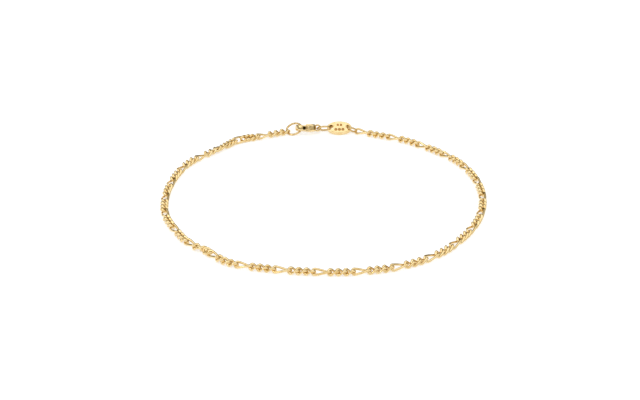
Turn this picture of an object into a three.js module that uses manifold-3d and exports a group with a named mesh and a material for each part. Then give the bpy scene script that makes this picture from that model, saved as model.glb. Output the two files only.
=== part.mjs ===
// Figaro chain anklet, fastened and lying flat on a surface: the chain's route, the end ring that
// the clasp hooks into, the lobster clasp with its lever, and the oval tag between two jump rings.
// Millimetres, +Z up, the surface at z = 0.
import * as THREE from "three";
import { mergeVertices } from "three/addons/utils/BufferGeometryUtils.js";
import Module from "manifold-3d";

const wasm = await Module();
wasm.setup();

// ---- driving dimensions, mm ----
const CHAIN_WIDTH = 2.0; // over the links, lying flat
const CHAIN_THICK = 1.5; // over the twisted links, up from the surface
const CHAIN_STEPS = 80;
// Where the chain lies, from the tag's ring round to the clasp's ring, clockwise seen from above.
const LAY = [
  [9.3, 39.2], [13.0, 36.8], [16.4, 35.3], [20.4, 33.3], [24.8, 29.7],
  [33.5, 19.5], [37.6, 6.8], [37.8, -6.4], [34.1, -19.4], [30.7, -25.5],
  [26.5, -31.2], [20.9, -35.8], [14.3, -38.9], [7.2, -40.5], [-7.0, -40.1],
  [-12.4, -39.1], [-17.6, -37.7], [-21.7, -35.9], [-26.1, -31.1], [-31.1, -26.0], [-34.4, -19.7],
  [-37.5, -11.1], [-38.1, -4.0], [-37.3, 6.8], [-33.2, 19.5], [-29.0, 24.7],
  [-24.7, 29.8], [-22.3, 32.6], [-19.5, 34.1], [-14.8, 36.1], [-9.9, 38.52],
];

// Rings: centre, radius to the middle of the wire, wire radius, and how each one leans. "turn" turns
// the ring's long way in plan, "rise" lifts its right-hand side, "lean" lifts its far side.
const END_RING = { at: [-7.65, 39.59, 1.21], r: 1.99, wire: 0.27, turn: 2.5, rise: 16.5, lean: 21.2 };
const CLASP_RING = { at: [0.2, 39.6, 1.39], r: 1.73, wire: 0.26, turn: 2.5, rise: 0, lean: 142 };
const TAG_RING = { at: [7.44, 39.22, 1.2], r: 1.25, wire: 0.25, turn: -14, rise: -12.5, lean: 136 };

const TAG_AT = [4.14, 39.7, 1.39];
const TAG_LENGTH = 6.4;
const TAG_WIDTH = 3.95;
const TAG_THICK = 1.1;
const TAG_EDGE = 0.14; // rounding of the rim
const TAG_HOLE_R = 0.7;
const TAG_HOLE_OUT = 2.2; // from the middle to each hole
const TAG_LEAN = 25; // degrees, far edge up

// The clasp's own frame: u along it from the hook to the eye, v across it towards the lever,
// w through its thickness.
const CLASP_AT = [-3.92, 39.5, 1.53];
const CLASP_ROLL = 25; // degrees, lever side up
const HOOK_U = -1.55; // middle of the hook's bend
const HOOK_OUT = 1.88;
const HOOK_IN = 1.14;
const HOOK_THICK = 1.55;
const HOOK_EDGE = 0.32; // the cut along its edges
const NOSE_U = -1.42; // where the hook's tip ends
const BODY_THICK = 2.0;
const BODY_EDGE = 0.42; // the cut along its long edges
const BODY_END = 3.35;
const SLOT_WIDTH = 1.0;
const SLOT_U = [-1.0, 1.75];
const SLOT_V = [-0.3, 3.0];
const EYE_U = 2.45;
const EYE_R = 0.55;
const EYE_HALF = 0.4; // half the eye's height along v
const PIVOT = [1.05, 0.95];
const PIN_R = 0.25;
const PIN_SEAT_R = 0.28; // the holes in the two cheeks
const LEVER_BORE_R = 0.31;
const LEVER_THICK = 0.86;

const GOLD = 0xe3b45a;
const deg = (d) => (d * Math.PI) / 180;

// ---- solids ----
// A three.js geometry as a manifold solid, and back.
function solid(geometry) {
  const g = geometry.clone();
  g.deleteAttribute("normal");
  g.deleteAttribute("uv");
  const merged = mergeVertices(g, 1e-4);
  const made = new wasm.Manifold(
    new wasm.Mesh({
      numProp: 3,
      vertProperties: new Float32Array(merged.attributes.position.array),
      triVerts: new Uint32Array(merged.index.array),
    }),
  );
  if (made.volume() <= 0) throw new Error("a solid is inside out");
  return made;
}

function geometryOf(made) {
  const mesh = made.getMesh();
  const g = new THREE.BufferGeometry();
  const xyz = new Float32Array(mesh.numVert * 3);
  for (let i = 0; i < mesh.numVert; i++)
    for (let k = 0; k < 3; k++) xyz[i * 3 + k] = mesh.vertProperties[i * mesh.numProp + k];
  g.setAttribute("position", new THREE.BufferAttribute(xyz, 3));
  g.setIndex(new THREE.BufferAttribute(mesh.triVerts, 1));
  g.computeVertexNormals();
  return g;
}

const anklet = new THREE.Group();
anklet.name = "anklet";

function add(name, geometry, roughness = 0.18) {
  const material = new THREE.MeshStandardMaterial({ color: GOLD, roughness, metalness: 1 });
  const mesh = new THREE.Mesh(geometry, material);
  mesh.name = name;
  anklet.add(mesh);
}

// A flat shape given thickness, with its rim rounded inwards and its middle plane at z = 0.
function plate(shape, thick, edge, edgeSteps = 2, curveSegments = 10) {
  const g = new THREE.ExtrudeGeometry(shape, {
    depth: thick - 2 * edge,
    bevelEnabled: edge > 0,
    bevelThickness: edge,
    bevelSize: edge,
    bevelOffset: -edge,
    bevelSegments: edgeSteps,
    curveSegments,
    steps: 1,
  });
  g.translate(0, 0, edge - thick / 2);
  return g;
}

// A round bar along z, centred.
function bar(radius, length, segments = 24) {
  const g = new THREE.LatheGeometry(
    [
      new THREE.Vector2(0, -length / 2),
      new THREE.Vector2(radius, -length / 2),
      new THREE.Vector2(radius, length / 2),
      new THREE.Vector2(0, length / 2),
    ],
    segments,
  );
  g.rotateX(Math.PI / 2);
  return g;
}

// ---- chain: one flattened tube along the route its links take ----
class Route extends THREE.CatmullRomCurve3 {
  constructor(points) {
    super(points, false, "chordal");
  }
  // The section stays upright: its width level, its height along z.
  computeFrenetFrames(segments) {
    const up = new THREE.Vector3(0, 0, 1);
    const frames = { tangents: [], normals: [], binormals: [] };
    for (let i = 0; i <= segments; i++) {
      const t = this.getTangentAt(i / segments).setZ(0).normalize();
      frames.tangents.push(t);
      frames.normals.push(new THREE.Vector3().crossVectors(up, t));
      frames.binormals.push(up.clone());
    }
    return frames;
  }
}

const route = new Route(LAY.map(([x, y]) => new THREE.Vector3(x, y, CHAIN_THICK / 2)));
route.arcLengthDivisions = 1200;
const w = CHAIN_WIDTH / 2;
const h = CHAIN_THICK / 2;
const chainSection = new THREE.Shape();
[[w, -0.4 * h], [w, 0.4 * h], [0.55 * w, h], [-0.55 * w, h],
 [-w, 0.4 * h], [-w, -0.4 * h], [-0.55 * w, -h], [0.55 * w, -h]]
  .forEach(([x, y], i) => (i ? chainSection.lineTo(x, y) : chainSection.moveTo(x, y)));
chainSection.closePath();
add("chain", new THREE.ExtrudeGeometry(chainSection, { steps: CHAIN_STEPS, extrudePath: route }), 0.3);

// ---- rings ----
function ringGeometry({ at, r, wire, turn, rise, lean }) {
  const g = new THREE.TorusGeometry(r, wire, 10, 40);
  g.applyMatrix4(
    new THREE.Matrix4()
      .makeTranslation(...at)
      .multiply(new THREE.Matrix4().makeRotationZ(deg(turn)))
      .multiply(new THREE.Matrix4().makeRotationY(deg(-rise)))
      .multiply(new THREE.Matrix4().makeRotationX(deg(lean))),
  );
  return g;
}
add("end_ring", ringGeometry(END_RING));
add("clasp_ring", ringGeometry(CLASP_RING));
add("tag_ring", ringGeometry(TAG_RING));

// ---- tag: an oval plate with a hole at each end, leaning back on its near edge ----
const oval = new THREE.Shape();
oval.absellipse(0, 0, TAG_LENGTH / 2, TAG_WIDTH / 2, 0, 2 * Math.PI);
let tag = solid(plate(oval, TAG_THICK, TAG_EDGE, 2, 28));
for (const side of [-1, 1])
  tag = tag.subtract(solid(bar(TAG_HOLE_R, 4, 28).translate(side * TAG_HOLE_OUT, 0, 0)));
const tagGeometry = geometryOf(tag);
tagGeometry.rotateX(deg(TAG_LEAN)).translate(...TAG_AT);
add("tag", tagGeometry);

// ---- clasp body: hook, spine and two cheeks, with the eye at its end ----
// A rectangle with its corners cut, for sections that are rounded on the real piece.
function cutCornered(halfX, halfY, cut, x = 0, y = 0) {
  const s = new THREE.Shape();
  [[halfX, -halfY + cut], [halfX, halfY - cut], [halfX - cut, halfY], [cut - halfX, halfY],
   [-halfX, halfY - cut], [-halfX, cut - halfY], [cut - halfX, -halfY], [halfX - cut, -halfY]]
    .forEach(([px, py], i) => (i ? s.lineTo(x + px, y + py) : s.moveTo(x + px, y + py)));
  s.closePath();
  return s;
}
// Gives a section drawn across the clasp (x = v, y = w) a length along u.
function alongU(shape, from, to) {
  const g = new THREE.ExtrudeGeometry(shape, { depth: to - from, bevelEnabled: false });
  return g.translate(0, 0, from).rotateX(Math.PI / 2).rotateZ(Math.PI / 2);
}
function block(u0, u1, v0, v1, w0, w1) {
  return new THREE.BoxGeometry(u1 - u0, v1 - v0, w1 - w0)
    .translate((u0 + u1) / 2, (v0 + v1) / 2, (w0 + w1) / 2);
}

const hookMid = (HOOK_OUT + HOOK_IN) / 2;
const hookHalf = (HOOK_OUT - HOOK_IN) / 2;
const bendSection = cutCornered(hookHalf, HOOK_THICK / 2, HOOK_EDGE, hookMid).getPoints();
bendSection.push(bendSection[0].clone());
const bend = new THREE.LatheGeometry(bendSection, 36).rotateX(Math.PI / 2).translate(HOOK_U, 0, 0);
const stem = alongU(cutCornered(hookHalf, HOOK_THICK / 2, HOOK_EDGE, -hookMid), HOOK_U - 0.05, 0);
const hook = solid(bend)
  .subtract(solid(block(NOSE_U, 4, -0.5, 4, -2, 2)))
  .subtract(solid(block(HOOK_U, 4, -4, 0.5, -2, 2)))
  .add(solid(stem));

const trunk = new THREE.Shape();
trunk.moveTo(-1.5, -HOOK_OUT);
trunk.lineTo(0.3, -HOOK_OUT);
trunk.bezierCurveTo(1.3, -HOOK_OUT, 1.6, -EYE_HALF, 2.3, -EYE_HALF);
trunk.lineTo(BODY_END + 0.3, -EYE_HALF);
trunk.lineTo(BODY_END + 0.3, EYE_HALF);
trunk.lineTo(2.45, EYE_HALF);
trunk.bezierCurveTo(2.0, EYE_HALF, 1.9, 1.75, 1.0, 1.8);
trunk.lineTo(-0.63, 1.8);
trunk.bezierCurveTo(-0.6, 1.2, -0.3, 0.8, 0.3, 0.55);
trunk.bezierCurveTo(0.55, 0.2, 0.5, -1.0, -0.3, -HOOK_IN);
trunk.lineTo(-1.5, -HOOK_IN);
trunk.closePath();

// Seen from the lever side: thin at the hook, full width at the cheeks, round at the eye.
const half = BODY_THICK / 2;
const front = new THREE.Shape();
front.moveTo(-1.9, -HOOK_THICK / 2 + 0.05);
front.bezierCurveTo(-1.2, -HOOK_THICK / 2 + 0.05, -1.2, -half, -0.6, -half);
front.lineTo(BODY_END - half, -half);
front.absarc(BODY_END - half, 0, half, -Math.PI / 2, Math.PI / 2, false);
front.lineTo(-0.6, half);
front.bezierCurveTo(-1.2, half, -1.2, HOOK_THICK / 2 - 0.05, -1.9, HOOK_THICK / 2 - 0.05);
front.closePath();
const frontCut = new THREE.ExtrudeGeometry(front, { depth: 6, bevelEnabled: false, curveSegments: 10 });
frontCut.translate(0, 0, -3).rotateX(Math.PI / 2);

const slot = block(...SLOT_U, ...SLOT_V, -SLOT_WIDTH / 2, SLOT_WIDTH / 2);
const eye = bar(EYE_R, 4).rotateX(Math.PI / 2).translate(EYE_U, 0, 0);
const seat = bar(PIN_SEAT_R, 4).translate(...PIVOT, 0);
const across = alongU(cutCornered(HOOK_OUT, half, BODY_EDGE), -4, 4);

const body = solid(plate(trunk, BODY_THICK, 0))
  .intersect(solid(frontCut))
  .intersect(solid(across))
  .subtract(solid(slot))
  .add(hook)
  .subtract(solid(eye))
  .subtract(solid(seat));

// Puts a piece drawn in the clasp's own frame where the clasp lies.
const lay = (g) => g.rotateX(Math.PI - deg(CLASP_ROLL)).translate(...CLASP_AT);
add("clasp_body", lay(geometryOf(body)));

// ---- lever: its tip tucks behind the hook's nose, its thumb tab stands out of the slot ----
const lever = new THREE.Shape();
lever.moveTo(-1.54, 0.56);
lever.lineTo(-1.54, 0.94);
lever.lineTo(-1.05, 0.9);
lever.bezierCurveTo(-0.85, 0.95, -0.8, 1.6, -0.5, 1.68);
lever.bezierCurveTo(-0.3, 1.74, -0.3, 2.05, 0.05, 2.08);
lever.bezierCurveTo(0.45, 2.1, 0.5, 1.72, 0.8, 1.66);
lever.bezierCurveTo(1.2, 1.6, 1.62, 1.5, 1.63, 0.95);
lever.bezierCurveTo(1.63, 0.5, 1.3, 0.36, 1.0, 0.37);
lever.bezierCurveTo(0.5, 0.4, -0.2, 0.36, -0.6, 0.42);
lever.closePath();
const bore = bar(LEVER_BORE_R, 4).translate(...PIVOT, 0);
add(
  "clasp_lever",
  lay(geometryOf(solid(plate(lever, LEVER_THICK, 0.08, 1, 8)).subtract(solid(bore)))),
);

// ---- pin: a plain rivet through both cheeks, on the lever's hinge line ----
add("lever_pin", lay(bar(PIN_R, BODY_THICK - 0.04).translate(...PIVOT, 0)));

export default anklet;
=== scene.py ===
import math
import random

import bmesh
import bpy
from mathutils import Matrix, Vector
from mathutils.geometry import interpolate_bezier


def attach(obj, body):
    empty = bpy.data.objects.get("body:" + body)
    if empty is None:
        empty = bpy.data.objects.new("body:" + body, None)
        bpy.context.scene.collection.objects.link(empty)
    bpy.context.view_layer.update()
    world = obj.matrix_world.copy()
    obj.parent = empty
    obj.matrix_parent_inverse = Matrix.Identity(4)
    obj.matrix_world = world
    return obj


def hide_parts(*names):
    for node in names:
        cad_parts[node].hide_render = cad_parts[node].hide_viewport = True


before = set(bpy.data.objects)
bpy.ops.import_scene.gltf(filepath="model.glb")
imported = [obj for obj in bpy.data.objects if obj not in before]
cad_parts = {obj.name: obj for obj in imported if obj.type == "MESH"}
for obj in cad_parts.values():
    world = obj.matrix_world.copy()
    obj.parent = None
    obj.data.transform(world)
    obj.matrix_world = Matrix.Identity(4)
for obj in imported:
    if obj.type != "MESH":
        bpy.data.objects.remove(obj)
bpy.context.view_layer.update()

MM = 0.001
scene = bpy.context.scene

# The table and the studio: a white sheet, lit from below, under the anklet, a pale room
# with a dark screen at its back, one soft light at the left, and the camera low in front of the loop.
FLOOR_SIDE = 6.0
FLOOR_WHITE = (0.6, 0.6, 0.6, 1)
FLOOR_GLOW = 0.61
ROOM_STRENGTH = 1.1
FRONT_LIGHT = [(0.0, 0.7), (0.08, 0.6), (0.14, 0.3), (0.36, 0.48), (0.62, 1.0), (0.85, 1.3)]
BACK_LIGHT = [(0.0, 0.7), (0.07, 0.66), (0.11, 0.15), (0.76, 0.15), (0.93, 1.0), (0.98, 1.3)]
# How far to the back a direction points where the screen starts to show, and where it is at its full.
SCREEN_STARTS, SCREEN_FULL = 0.2, 0.7
# A wall dimmer than DIM is warmer: it loses these shares of green and blue, times how much dimmer.
DIM = 0.6
GREEN_LOST, BLUE_LOST = 0.25, 0.95
CAMERA_AIM = Vector((-0.9, -1.3, 0)) * MM
CAMERA_RISE = math.radians(25.2)
CAMERA_DISTANCE = 450 * MM
CAMERA_LENS = 105.05

floor_mesh = bpy.data.meshes.new("floor")
bm = bmesh.new()
bmesh.ops.create_grid(bm, x_segments=1, y_segments=1, size=FLOOR_SIDE / 2)
bm.to_mesh(floor_mesh)
bm.free()
floor = bpy.data.objects.new("floor", floor_mesh)
scene.collection.objects.link(floor)
floor_paint = bpy.data.materials.new("white_sheet")
floor_paint.use_nodes = True
floor_shader = floor_paint.node_tree.nodes["Principled BSDF"]
floor_shader.inputs["Base Color"].default_value = FLOOR_WHITE
floor_shader.inputs["Roughness"].default_value = 0.9
floor_shader.inputs["Specular IOR Level"].default_value = 0.1
floor_shader.inputs["Emission Color"].default_value = (1, 1, 1, 1)
floor_shader.inputs["Emission Strength"].default_value = FLOOR_GLOW
floor.data.materials.append(floor_paint)

room = bpy.data.worlds.new("room")
room.use_nodes = True
nodes, links = room.node_tree.nodes, room.node_tree.links
looking = nodes.new("ShaderNodeTexCoord")
parts = nodes.new("ShaderNodeSeparateXYZ")
links.new(looking.outputs["Generated"], parts.inputs["Vector"])
backward = nodes.new("ShaderNodeMapRange")
backward.interpolation_type = "SMOOTHSTEP"
backward.inputs["From Min"].default_value = SCREEN_STARTS
backward.inputs["From Max"].default_value = SCREEN_FULL
links.new(parts.outputs["Y"], backward.inputs["Value"])
walls = nodes.new("ShaderNodeMix")
walls.data_type = "RGBA"
links.new(backward.outputs["Result"], walls.inputs["Factor"])
for wall, socket in ((FRONT_LIGHT, "A"), (BACK_LIGHT, "B")):
    rising = nodes.new("ShaderNodeValToRGB")
    rising.color_ramp.elements.remove(rising.color_ramp.elements[0])
    for height, light in wall:
        stop = rising.color_ramp.elements.new(height)
        warmth = max(0.0, DIM - light)
        stop.color = (light, light * (1 - GREEN_LOST * warmth), light * (1 - BLUE_LOST * warmth), 1)
    rising.color_ramp.elements.remove(rising.color_ramp.elements[-1])
    links.new(parts.outputs["Z"], rising.inputs["Fac"])
    side = next(i for i in walls.inputs if i.type == "RGBA" and i.name == socket)
    links.new(rising.outputs["Color"], side)
links.new(next(o for o in walls.outputs if o.type == "RGBA"), nodes["Background"].inputs["Color"])
nodes["Background"].inputs["Strength"].default_value = ROOM_STRENGTH
scene.world = room
scene.view_settings.view_transform = "Standard"


def soft_light(name, place, aim, size, power):
    lamp = bpy.data.lights.new(name, "AREA")
    lamp.shape = "RECTANGLE"
    lamp.size, lamp.size_y = size
    lamp.energy = power
    thing = bpy.data.objects.new(name, lamp)
    thing.location = place
    thing.rotation_euler = (Vector(aim) - Vector(place)).to_track_quat("-Z", "Y").to_euler()
    scene.collection.objects.link(thing)


soft_light("left_light", (-0.6, -0.35, 0.4), (0, 0, 0), (0.25, 0.25), 0.6)

eye = bpy.data.cameras.new("camera")
eye.lens = CAMERA_LENS
eye.sensor_width = 36
eye.clip_start = 0.01
camera = bpy.data.objects.new("camera", eye)
away = Vector((0, -math.cos(CAMERA_RISE), math.sin(CAMERA_RISE)))
camera.location = CAMERA_AIM + away * CAMERA_DISTANCE
camera.rotation_euler = (-away).to_track_quat("-Z", "Y").to_euler()
scene.collection.objects.link(camera)
scene.camera = camera

# The rings: round gold wire bent into a circle and closed at a butt joint. One takes the clasp's
# hook, one joins the clasp's eye to the tag, and one joins the tag to the chain.
RING_SEGMENTS = 72
WIRE_SEGMENTS = 14
JOINT_GAP = 0.03
# How many patches of colour the gold has to the metre.
PATCHES = 900


def finished(name, bm, material, body, nodes, smooth=40):
    """Makes the bmesh a named piece of that finish, which stands for those CAD nodes."""
    bmesh.ops.recalc_face_normals(bm, faces=bm.faces)
    mesh = bpy.data.meshes.new(name)
    bm.to_mesh(mesh)
    bm.free()
    mesh.polygons.foreach_set("use_smooth", [True] * len(mesh.polygons))
    mesh.set_sharp_from_angle(angle=math.radians(smooth))
    mesh.materials.append(material)
    piece = bpy.data.objects.new(name, mesh)
    scene.collection.objects.link(piece)
    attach(piece, body)
    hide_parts(*nodes)
    return piece


def gold(name, colour, deep, roughness, scratch_size, scratch_depth):
    """Polished plated gold: two shades in soft patches, with fine buffing marks."""
    made = bpy.data.materials.new(name)
    made.use_nodes = True
    nodes, links = made.node_tree.nodes, made.node_tree.links
    shader = nodes["Principled BSDF"]
    shader.inputs["Metallic"].default_value = 1.0
    place = nodes.new("ShaderNodeTexCoord")
    patches = nodes.new("ShaderNodeTexNoise")
    patches.inputs["Scale"].default_value = PATCHES
    patches.inputs["Detail"].default_value = 3
    links.new(place.outputs["Object"], patches.inputs["Vector"])
    shades = nodes.new("ShaderNodeValToRGB")
    shades.color_ramp.elements[0].position = 0.36
    shades.color_ramp.elements[0].color = (*deep, 1)
    shades.color_ramp.elements[1].position = 0.62
    shades.color_ramp.elements[1].color = (*colour, 1)
    links.new(patches.outputs["Fac"], shades.inputs["Fac"])
    links.new(shades.outputs["Color"], shader.inputs["Base Color"])
    polish = nodes.new("ShaderNodeMapRange")
    polish.inputs["To Min"].default_value = roughness * 0.7
    polish.inputs["To Max"].default_value = roughness * 1.4
    links.new(patches.outputs["Fac"], polish.inputs["Value"])
    links.new(polish.outputs["Result"], shader.inputs["Roughness"])
    marks = nodes.new("ShaderNodeTexNoise")
    marks.inputs["Scale"].default_value = 1 / (scratch_size * MM)
    marks.inputs["Detail"].default_value = 5
    links.new(place.outputs["Object"], marks.inputs["Vector"])
    relief = nodes.new("ShaderNodeBump")
    relief.inputs["Distance"].default_value = scratch_depth * MM
    relief.inputs["Strength"].default_value = 0.5
    links.new(marks.outputs["Fac"], relief.inputs["Height"])
    links.new(relief.outputs["Normal"], shader.inputs["Normal"])
    return made


polished_gold = gold("polished_gold", (0.85, 0.68, 0.38), (0.78, 0.58, 0.27), 0.13, 0.12, 0.004)
chain_gold = gold("chain_gold", (0.85, 0.675, 0.37), (0.77, 0.56, 0.25), 0.14, 0.15, 0.005)
ring_gold = gold("ring_gold", (0.72, 0.53, 0.26), (0.60, 0.42, 0.18), 0.12, 0.1, 0.003)


def ring_place(at, turn, rise, lean):
    """Where a ring lies: its centre, then how it's turned in plan, raised and leant back."""
    return (
        Matrix.Translation(Vector(at) * MM)
        @ Matrix.Rotation(math.radians(turn), 4, "Z")
        @ Matrix.Rotation(math.radians(-rise), 4, "Y")
        @ Matrix.Rotation(math.radians(lean), 4, "X")
    )


def jump_ring(name, place, radius, wire, joint_at):
    """A ring of round wire, its butt joint at that angle round it."""
    bm = bmesh.new()
    bmesh.ops.create_circle(bm, segments=WIRE_SEGMENTS, radius=wire * MM)
    upright = Matrix.Translation((radius * MM, 0, 0)) @ Matrix.Rotation(math.pi / 2, 4, "X")
    bmesh.ops.transform(bm, matrix=upright, verts=bm.verts)
    gap = JOINT_GAP / radius
    bmesh.ops.spin(
        bm, geom=bm.verts[:] + bm.edges[:], axis=(0, 0, 1), cent=(0, 0, 0),
        angle=2 * math.pi - gap, steps=RING_SEGMENTS,
    )
    bmesh.ops.holes_fill(bm, edges=[e for e in bm.edges if e.is_boundary])
    turned = place @ Matrix.Rotation(math.radians(joint_at) + gap / 2, 4, "Z")
    bmesh.ops.transform(bm, matrix=turned, verts=bm.verts)
    return finished(name + "_wire", bm, ring_gold, "anklet", [name])


END_RING_R = 1.99
TAG_RING_R = 1.25
end_ring_place = ring_place((-7.65, 39.59, 1.21), turn=2.5, rise=16.5, lean=21.2)
clasp_ring_place = ring_place((0.2, 39.6, 1.39), turn=2.5, rise=0, lean=142)
tag_ring_place = ring_place((7.44, 39.22, 1.2), turn=-14, rise=-12.5, lean=136)
jump_ring("end_ring", end_ring_place, END_RING_R, 0.27, joint_at=75)
jump_ring("clasp_ring", clasp_ring_place, 1.73, 0.26, joint_at=100)
jump_ring("tag_ring", tag_ring_place, TAG_RING_R, 0.25, joint_at=-80)

# The chain: figaro links of round wire, one long and three small by turns. Each is soldered shut
# and twisted a quarter turn along its length, so the chain lies flat. They lie along LAY, pushed
# together and rolled over where the chain is bunched.
SMALL_WIRE = 0.68
LONG_WIRE = 0.58
LINK_WIDTH = 2.05
SMALL_INSIDE = 1.75
LONG_INSIDE = 3.6
LONG_LINKS = 27
SMALLS_BETWEEN = 3
TWIST = 45
BEND_STEPS = 24
LAY = [
    (13.0, 36.8), (16.4, 35.3), (20.4, 33.3), (24.8, 29.7),
    (33.5, 19.5), (37.6, 6.8), (37.8, -6.4), (34.1, -19.4), (30.7, -25.5),
    (26.5, -31.2), (20.9, -35.8), (14.3, -38.9), (7.2, -40.5), (-7.0, -40.1),
    (-12.4, -39.1), (-17.6, -37.7), (-21.7, -35.9), (-26.1, -31.1), (-31.1, -26.0),
    (-34.4, -19.7), (-37.5, -11.1), (-38.1, -4.0), (-37.3, 6.8), (-33.2, 19.5),
    (-29.0, 24.7), (-24.7, 29.8), (-22.3, 32.6), (-19.5, 34.1), (-14.8, 36.1),
]
CHAIN_HEIGHT = 0.9
# How much shorter than drawn tight the long link and smalls of that number lie.
BUNCHED = {3: 0.4, 4: 0.4, 17: 0.9, 18: 0.3, 23: 0.25, 25: 3.7, 26: 2.1, 27: 0.25}
# How far the links are rolled about the chain's own line, in degrees, at that way along it.
ROLLED = [
    (0, -2), (144, -2), (148.5, -182), (203, -182), (212, -210), (217, -117), (224, -182), (240, -182),
]
ROLL_PLAY = 5
TURN_PLAY = 2
# Where round the end ring the last link hangs, and how clear of the table every link lies.
LAST_LINK_AT = 205
TABLE_GAP = 0.005


def twisted_link(inside, wire, twist_over, leg_cuts):
    """One link along X, in metres: a wire ring pulled out to an oval, then twisted about X."""
    bm = bmesh.new()
    bow = (LINK_WIDTH - wire) / 2
    leg = (inside + wire) / 2 - bow
    bmesh.ops.create_circle(bm, segments=10, radius=wire / 2)
    half_step = math.pi / BEND_STEPS
    start = (
        Matrix.Rotation(math.pi / 2 + half_step, 4, "Z")
        @ Matrix.Translation((bow, 0, 0))
        @ Matrix.Rotation(math.pi / 2, 4, "X")
    )
    bmesh.ops.transform(bm, matrix=start, verts=bm.verts)
    bmesh.ops.spin(
        bm, geom=bm.verts[:] + bm.edges[:], axis=(0, 0, 1), cent=(0, 0, 0),
        angle=2 * math.pi, steps=BEND_STEPS, use_merge=True,
    )
    for v in bm.verts:
        v.co.x += math.copysign(leg, v.co.x)
    across = [e for e in bm.edges if e.verts[0].co.x * e.verts[1].co.x < 0]
    bmesh.ops.subdivide_edges(bm, edges=across, cuts=leg_cuts)
    for v in bm.verts:
        share = max(-1, min(1, v.co.x / twist_over))
        v.co = Matrix.Rotation(math.radians(-TWIST) * share, 3, "X") @ v.co
    bmesh.ops.scale(bm, vec=(MM, MM, MM), verts=bm.verts)
    bmesh.ops.recalc_face_normals(bm, faces=bm.faces)
    mesh = bpy.data.meshes.new("link")
    bm.to_mesh(mesh)
    bm.free()
    return mesh


def route_through(points, steps=24):
    """Points close together along the smooth line through those points, and the way along to each."""
    ends = [2 * points[0] - points[1], *points, 2 * points[-1] - points[-2]]
    line = [points[0]]
    for before, a, b, after in zip(ends, ends[1:], ends[2:], ends[3:]):
        into, along, out = (a - before).length, (b - a).length, (after - b).length
        leave = (a - before) / into - (b - before) / (into + along) + (b - a) / along
        arrive = (b - a) / along - (after - a) / (along + out) + (after - b) / out
        handles = (a + leave * along / 3, b - arrive * along / 3)
        line += interpolate_bezier(a, *handles, b, steps + 1)[1:]
    way = [0.0]
    for a, b in zip(line, line[1:]):
        way.append(way[-1] + (b - a).length)
    return line, way


def at_way(line, way, s):
    """The point that far along the line."""
    k = max(i for i in range(len(way) - 1) if way[i] <= s)
    share = (s - way[k]) / (way[k + 1] - way[k])
    return line[k].lerp(line[k + 1], share)


def rolled(s):
    """How far the chain is rolled over there, from ROLLED."""
    for (from_s, from_roll), (to_s, to_roll) in zip(ROLLED, ROLLED[1:]):
        if s <= to_s:
            return from_roll + (to_roll - from_roll) * (s - from_s) / (to_s - from_s)
    return ROLLED[-1][1]


first_rim = tag_ring_place @ Vector((TAG_RING_R * MM, 0, 0)) / MM
last_turn = Matrix.Rotation(math.radians(LAST_LINK_AT), 4, "Z")
last_rim = end_ring_place @ last_turn @ Vector((END_RING_R * MM, 0, 0)) / MM
level = [Vector((x, y, CHAIN_HEIGHT)) for x, y in LAY]
line, way = route_through([first_rim, *level, last_rim])
pitches = []
for number in range(1, LONG_LINKS + 1):
    repeat = [LONG_INSIDE] + [SMALL_INSIDE] * SMALLS_BETWEEN
    squeeze = 1 - BUNCHED.get(number, 0) / sum(repeat)
    pitches += [(inside, inside * squeeze) for inside in repeat]
spare = (way[-1] - 0.01) / sum(pitch for inside, pitch in pitches)
meshes = {
    LONG_INSIDE: twisted_link(LONG_INSIDE, LONG_WIRE, twist_over=2.0, leg_cuts=8),
    SMALL_INSIDE: twisted_link(SMALL_INSIDE, SMALL_WIRE, twist_over=0.6, leg_cuts=3),
}
chance = random.Random(27)
bm = bmesh.new()
s = 0.0
for inside, pitch in pitches:
    ahead = s + pitch * spare
    a, b = at_way(line, way, s), at_way(line, way, ahead)
    along = (b - a).normalized()
    side = Vector((0, 0, 1)).cross(along).normalized()
    place = Matrix((along, side, along.cross(side))).transposed().to_4x4()
    place.translation = (a + b) / 2 * MM
    roll = rolled((s + ahead) / 2) + chance.uniform(-ROLL_PLAY, ROLL_PLAY)
    place @= Matrix.Rotation(math.radians(chance.uniform(-TURN_PLAY, TURN_PLAY)), 4, "Z")
    place @= Matrix.Rotation(math.radians(roll), 4, "X")
    count = len(bm.verts)
    bm.from_mesh(meshes[inside])
    bm.verts.ensure_lookup_table()
    bmesh.ops.transform(bm, matrix=place, verts=bm.verts[count:])
    low = min(v.co.z for v in bm.verts[count:])
    bmesh.ops.translate(bm, vec=(0, 0, max(0.0, TABLE_GAP * MM - low)), verts=bm.verts[count:])
    s = ahead
finished("chain_links", bm, chain_gold, "anklet", ["chain"], smooth=60)

# The clasp's body: one gold casting, hooked at one end and drawn out to a flat eye at the other,
# with a slot between two cheeks for the lever. Its edges are tumbled round and polished.
CLASP_AT = Vector((-3.92, 39.5, 1.53))
CLASP_ROLL = 25
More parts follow.
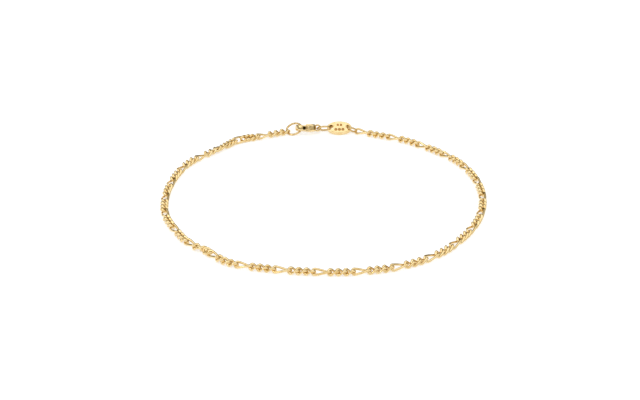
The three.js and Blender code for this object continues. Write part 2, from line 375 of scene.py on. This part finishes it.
# Down the hook, the spine and up the cheeks: inner edge, outer edge (along, across), half width.
HOOK_LINE = [
    (-1.42, 1.24, -1.42, 1.76, 0.62), (-1.62, 1.14, -1.6, 1.88, 0.72), (-2.12, 0.99, -2.49, 1.63, 0.78),
    (-2.54, 0.57, -3.18, 0.94, 0.78), (-2.69, 0.0, -3.43, 0.0, 0.78), (-2.54, -0.57, -3.18, -0.94, 0.78),
    (-2.12, -0.99, -2.49, -1.63, 0.78), (-1.5, -1.14, -1.5, -1.88, 0.78), (-0.85, -1.12, -0.8, -1.88, 0.86),
    (-0.35, -1.02, -0.15, -1.86, 0.97), (0.15, -0.75, 0.6, -1.72, 1.0), (0.42, -0.35, 1.35, -1.3, 1.0),
    (0.47, 0.1, 1.95, -0.55, 1.0), (0.33, 0.52, 2.1, 0.35, 1.0), (0.0, 0.7, 1.85, 1.15, 1.0),
    (-0.35, 0.88, 1.25, 1.68, 1.0), (-0.56, 1.15, 0.5, 1.8, 0.99), (-0.6, 1.42, -0.1, 1.8, 0.97),
    (-0.62, 1.56, -0.5, 1.78, 0.93),
]
SLOT = ((-1.1, 1.72), (-0.3, 3.0), (-0.49, 0.49))
EYE_AT, EYE_OUT, EYE_IN, EYE_HALF = 2.4, 0.99, 0.53, 0.4
clasp_place = Matrix.Translation(CLASP_AT * MM) @ Matrix.Rotation(math.pi - math.radians(CLASP_ROLL), 4, "X")


def carried_along(bm, places, squareness=0.72):
    """A closed solid: a rounded square section carried through those places."""
    made = bmesh.ops.create_circle(bm, segments=20, radius=1)["verts"]
    for v in made:
        v.co.x = math.copysign(abs(v.co.x) ** squareness, v.co.x)
        v.co.y = math.copysign(abs(v.co.y) ** squareness, v.co.y)
    ring = list(dict.fromkeys(e for v in made for e in v.link_edges))
    ends = [ring]
    bmesh.ops.transform(bm, matrix=places[0], verts=made)
    for before, after in zip(places, places[1:]):
        grown = bmesh.ops.extrude_edge_only(bm, edges=ring)["geom"]
        ring = [g for g in grown if isinstance(g, bmesh.types.BMEdge) and g.is_boundary]
        moved = [g for g in grown if isinstance(g, bmesh.types.BMVert)]
        bmesh.ops.transform(bm, matrix=after @ before.inverted(), verts=moved)
    ends.append(ring)
    for end in ends:
        bmesh.ops.edgenet_fill(bm, edges=end)


def worked(name, bm, tools, voxel=None, passes=0):
    """The solid with the tools cut out of it. With a voxel size it is remade as one fine skin, and
    the passes wear its edges round. All in mm."""
    blank = bpy.data.objects.new(name, bpy.data.meshes.new(name))
    cutters = [bpy.data.objects.new(name + "_tool", bpy.data.meshes.new(name + "_tool")) for _ in tools]
    for thing, shape in zip((blank, *cutters), (bm, *tools)):
        bmesh.ops.recalc_face_normals(shape, faces=shape.faces)
        shape.to_mesh(thing.data)
        shape.free()
        scene.collection.objects.link(thing)
    for cutter in cutters:
        cut = blank.modifiers.new("cut", "BOOLEAN")
        cut.operation = "DIFFERENCE"
        cut.solver = "EXACT"
        cut.use_self = True
        cut.object = cutter
    if voxel:
        skin = blank.modifiers.new("skin", "REMESH")
        skin.mode = "VOXEL"
        skin.voxel_size = voxel
        wear = blank.modifiers.new("wear", "SMOOTH")
        wear.factor = 0.5
        wear.iterations = passes
    ready = blank.evaluated_get(bpy.context.evaluated_depsgraph_get())
    done = bmesh.new()
    done.from_mesh(ready.to_mesh())
    ready.to_mesh_clear()
    for thing in (blank, *cutters):
        bpy.data.meshes.remove(thing.data)
    return done


def laid(bm):
    """Puts a bmesh drawn in mm in the clasp's own frame where the clasp lies."""
    bmesh.ops.transform(bm, matrix=clasp_place @ Matrix.Scale(MM, 4), verts=bm.verts)
    return bm


def painted_recess_shade(name, base, low, high):
    """Polished gold painted near black where it lies deep in the clasp, under the cheeks' edges, as painted
    shade for the shadow there.
    """
    made = base.copy()
    made.name = name
    nodes, links = made.node_tree.nodes, made.node_tree.links
    shader = nodes["Principled BSDF"]
    place = nodes.new("ShaderNodeTexCoord")
    apart = nodes.new("ShaderNodeVectorMath")
    apart.operation = "DOT_PRODUCT"
    across = (clasp_place.to_3x3() @ Vector((0, 1, 0))).normalized()
    apart.inputs[1].default_value = across
    links.new(place.outputs["Object"], apart.inputs[0])
    depth = nodes.new("ShaderNodeMapRange")
    start = clasp_place.translation.dot(across)
    depth.inputs["From Min"].default_value = start + low * MM
    depth.inputs["From Max"].default_value = start + high * MM
    links.new(apart.outputs["Value"], depth.inputs["Value"])
    mixed = nodes.new("ShaderNodeMix")
    mixed.data_type = "RGBA"
    colours = [i for i in mixed.inputs if i.type == "RGBA"]
    # Near black: painted shade for the shadow deep in the slot.
    colours[0].default_value = (0.05, 0.035, 0.012, 1)
    links.new(shader.inputs["Base Color"].links[0].from_socket, colours[1])
    links.new(depth.outputs["Result"], mixed.inputs["Factor"])
    links.new(next(o for o in mixed.outputs if o.type == "RGBA"), shader.inputs["Base Color"])
    return made


inner, _ = route_through([Vector((i_u, i_v, wide)) for i_u, i_v, o_u, o_v, wide in HOOK_LINE], steps=3)
outer, _ = route_through([Vector((o_u, o_v, wide)) for i_u, i_v, o_u, o_v, wide in HOOK_LINE], steps=3)
places = []
for a, b in zip(inner, outer):
    out = Vector((b.x - a.x, b.y - a.y, 0)) / 2
    ahead = Vector((-out.y, out.x, 0)).normalized()
    place = Matrix((out, (0, 0, a.z), ahead)).transposed().to_4x4()
    place.translation = ((a.x + b.x) / 2, (a.y + b.y) / 2, 0)
    places.append(place)
bm = bmesh.new()
section = bmesh.ops.create_circle(bm, segments=16, radius=1)["verts"]
for v in section:
    v.co.x = math.copysign(abs(v.co.x) ** 0.75, v.co.x) * (EYE_OUT - EYE_IN) / 2 + (EYE_OUT + EYE_IN) / 2
    v.co.y = math.copysign(abs(v.co.y) ** 0.75, v.co.y) * EYE_HALF
bmesh.ops.spin(
    bm, geom=bm.verts[:] + bm.edges[:], axis=(0, 1, 0), cent=(0, 0, 0),
    angle=2 * math.pi, steps=48, use_merge=True,
)
bmesh.ops.translate(bm, vec=(EYE_AT, 0, 0), verts=bm.verts)
carried_along(bm, places)
slot = bmesh.new()
bmesh.ops.create_cube(slot, size=1)
(u0, u1), (v0, v1), (w0, w1) = SLOT
bmesh.ops.scale(slot, vec=(u1 - u0, v1 - v0, w1 - w0), verts=slot.verts)
bmesh.ops.translate(slot, vec=((u0 + u1) / 2, (v0 + v1) / 2, (w0 + w1) / 2), verts=slot.verts)
casting = worked("casting", bm, [slot], voxel=0.045, passes=6)
finished("clasp_casting", laid(casting), polished_gold, "anklet", ["clasp_body"], smooth=180)

# The lever: a stamped gold tongue with a thumb tab, turning in the slot. Its tip closes the hook.
lever = bmesh.new()
lever.from_mesh(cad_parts["clasp_lever"].data)
bmesh.ops.transform(lever, matrix=(clasp_place @ Matrix.Scale(MM, 4)).inverted(), verts=lever.verts)
bmesh.ops.remove_doubles(lever, verts=lever.verts, dist=0.002)
lever = worked("tongue", lever, [], voxel=0.035, passes=5)
# The lever's tip, deep in the notch, is painted near black as shade.
lever_gold_painted_shade = painted_recess_shade("lever_gold_painted_shade", polished_gold, 0.95, 1.45)
finished("clasp_tongue", laid(lever), lever_gold_painted_shade, "lever", ["clasp_lever"], smooth=180)

# The pin: a gold rivet through both cheeks, its ends rounded over.
PIVOT = (1.05, 0.95)
PIN_R = 0.25
PIN_HALF = 1.0
bm = bmesh.new()
bmesh.ops.create_cone(bm, cap_ends=True, segments=32, radius1=PIN_R, radius2=PIN_R, depth=2 * PIN_HALF)
rims = [e for e in bm.edges if len({round(v.co.z, 3) for v in e.verts}) == 1]
bmesh.ops.bevel(
    bm, geom=rims, offset=0.09, offset_type="OFFSET", segments=5, profile=0.5, affect="EDGES", material=-1,
)
bmesh.ops.translate(bm, vec=(*PIVOT, 0), verts=bm.verts)
finished("lever_rivet", laid(bm), polished_gold, "anklet", ["lever_pin"])

# The tag: an oval cut from thick gold sheet with a hole at each end, its rim rounded and its face
# stamped with plain marks, two squares over three dots.
TAG_LENGTH, TAG_WIDTH, TAG_THICK = 6.4, 3.95, 1.1
TAG_LEAN = 25
TAG_AT = Vector((4.14, 39.7, 1.39))
HOLE_OUT, HOLE_R, HOLE_FLARE = 2.2, 0.7, 0.1
STAMP_DEPTH = 0.1
SQUARES = [(-0.42, 0.66), (0.42, 0.66)]
DOTS = [(-0.92, -0.92), (0.0, -0.92), (0.92, -0.92)]
# The box round the marks, (along, across, up), whose faces have the struck finish: rougher gold, painted
# darker brown as shade in the recesses.
STRUCK_AND_SHADED = ((-1.5, 1.5), (-1.6, 1.6), (0.4, 0.545))


def stamp(corners, wide, tall, at):
    """A punch with that many corners, standing on the tag's face and reaching the stamp's depth."""
    bm = bmesh.new()
    bmesh.ops.create_cone(
        bm, cap_ends=True, segments=corners, radius1=0.42, radius2=0.58, depth=2 * STAMP_DEPTH,
    )
    bmesh.ops.rotate(bm, matrix=Matrix.Rotation(math.pi / 4 if corners == 4 else 0, 3, "Z"), verts=bm.verts)
    bmesh.ops.scale(bm, vec=(wide, tall, 1), verts=bm.verts)
    bmesh.ops.translate(bm, vec=(*at, TAG_THICK / 2), verts=bm.verts)
    return bm


bm = bmesh.new()
bmesh.ops.create_cone(bm, cap_ends=True, segments=96, radius1=1, radius2=1, depth=TAG_THICK)
bmesh.ops.scale(bm, vec=(TAG_LENGTH / 2, TAG_WIDTH / 2, 1), verts=bm.verts)
rims = [e for e in bm.edges if abs(e.verts[0].co.z - e.verts[1].co.z) < 0.1]
bmesh.ops.bevel(
    bm, geom=rims, offset=0.16, offset_type="OFFSET", segments=4, profile=0.5, affect="EDGES", material=-1,
)
punches = []
for side in (-1, 1):
    drill = bmesh.new()
    bmesh.ops.create_cone(drill, cap_ends=True, segments=40, radius1=HOLE_R, radius2=HOLE_R, depth=3)
    bmesh.ops.translate(drill, vec=(side * HOLE_OUT, 0, 0), verts=drill.verts)
    punches.append(drill)
    for face in (-1, 1):
        flare = bmesh.new()
        wide, narrow = HOLE_R + 2 * HOLE_FLARE, HOLE_R - HOLE_FLARE
        bmesh.ops.create_cone(
            flare, cap_ends=True, segments=40, depth=3 * HOLE_FLARE,
            radius1=wide if face < 0 else narrow, radius2=narrow if face < 0 else wide,
        )
        middle = face * (TAG_THICK / 2 + HOLE_FLARE / 2)
        bmesh.ops.translate(flare, vec=(side * HOLE_OUT, 0, middle), verts=flare.verts)
        punches.append(flare)
punches += [stamp(4, 0.8, 1.15, at) for at in SQUARES]
punches += [stamp(20, 0.8, 0.98, at) for at in DOTS]
bm = worked("tag", bm, punches)
tag_place = Matrix.Translation(TAG_AT * MM) @ Matrix.Rotation(math.radians(TAG_LEAN), 4, "X")
for f in bm.faces:
    if all(low < c < high for c, (low, high) in zip(f.calc_center_median(), STRUCK_AND_SHADED)):
        f.material_index = 1
bmesh.ops.transform(bm, matrix=tag_place @ Matrix.Scale(MM, 4), verts=bm.verts)
tag = finished("stamped_tag", bm, polished_gold, "anklet", ["tag"], smooth=30)
# Struck finish: rougher gold, with a darker brown colour that is painted shade for the stamped recesses.
struck_and_shaded_gold = gold("struck_and_shaded_gold", (0.55, 0.30, 0.09), (0.40, 0.20, 0.06), 0.4, 0.08, 0.01)
tag.data.materials.append(struck_and_shaded_gold)
flat = tag.modifiers.new("flat_faces", "WEIGHTED_NORMAL")
flat.keep_sharp = True
